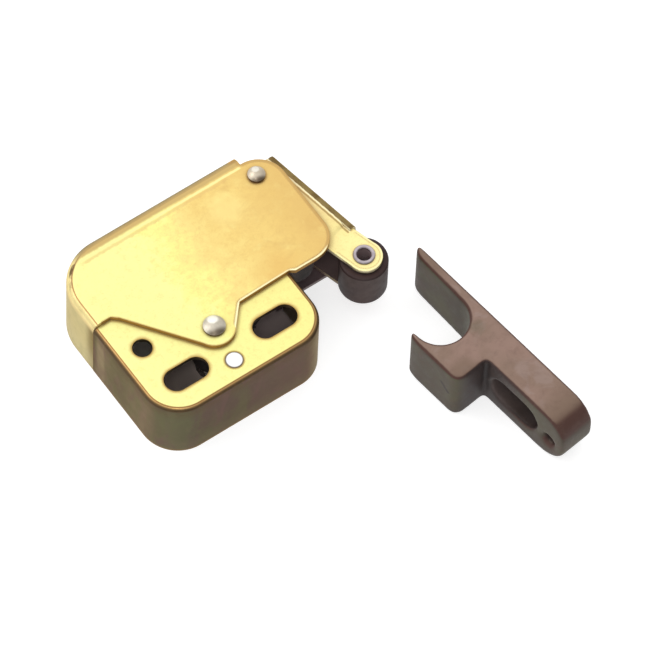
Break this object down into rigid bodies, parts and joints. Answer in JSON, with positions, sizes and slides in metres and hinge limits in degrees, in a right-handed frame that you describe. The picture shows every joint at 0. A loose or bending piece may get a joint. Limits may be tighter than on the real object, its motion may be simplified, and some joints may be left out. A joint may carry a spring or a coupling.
{
  "type": "touch catch",
  "caption": "Push-to-open touch catch: riveted sheet-steel case with a sprung arm and roller, with its separate moulded jaw strike.",
  "frame": {"origin": "midway between the two mounting slots, on the face that is screwed to the cabinet", "axes": "+X towards the door, along the slots; +Y towards the arm's pivot; +Z away from the cabinet side"},
  "size_m": [0.0644, 0.0783, 0.0163],
  "materials": {
    "yellow_zinc": "yellow passivated zinc on pressed steel, satin",
    "plain_steel": "bare steel, smooth",
    "spring_wire": "drawn spring wire",
    "dark_plastic": "dark brown moulding",
    "strike_plastic": "brown moulding, matte"
  },
  "bodies": {
    "case": {"cover": "yellow_zinc", "base_shell": "yellow_zinc", "floor_plate": "yellow_zinc", "pivot_rivet": "plain_steel", "pivot_sleeve": "plain_steel", "pivot_washer": "plain_steel", "cam_rivet": "plain_steel", "cam_sleeve": "plain_steel", "cam_washer": "plain_steel", "spacer_post": "plain_steel", "arm_spring": "spring_wire", "cam_spring": "spring_wire", "strike": "strike_plastic"},
    "arm_body": {"arm": "yellow_zinc", "catch_pin": "plain_steel", "roller_rivet": "plain_steel", "roller_washers": "plain_steel"},
    "roller_body": {"roller": "dark_plastic"},
    "cam_body": {"latch_cam": "dark_plastic"}
  },
  "joints": [
    {"name": "arm_swing", "type": "hinge", "parent": "case", "child": "arm_body", "pos_m": [0.0236, 0.0261, 0.007], "axis": [0, 0, -1], "range_deg": [0, 18], "stiffness_Nm_per_rad": 0.05, "springref_deg": -45.84, "deforming": ["arm_spring"]},
    {"name": "roller_spin", "type": "hinge", "parent": "arm_body", "child": "roller_body", "pos_m": [0.03055, 0.0025, 0.008], "axis": [0, 0, 1], "continuous": true},
    {"name": "cam_rock", "type": "hinge", "parent": "case", "child": "cam_body", "pos_m": [-0.00027, 0.00476, 0.008], "axis": [0, 0, 1], "range_deg": [0, 6], "deforming": ["cam_spring"]}
  ],
  "couplings": [
    {"joint": "cam_rock", "follows": "arm_swing", "ratio": 0.332}
  ]
}
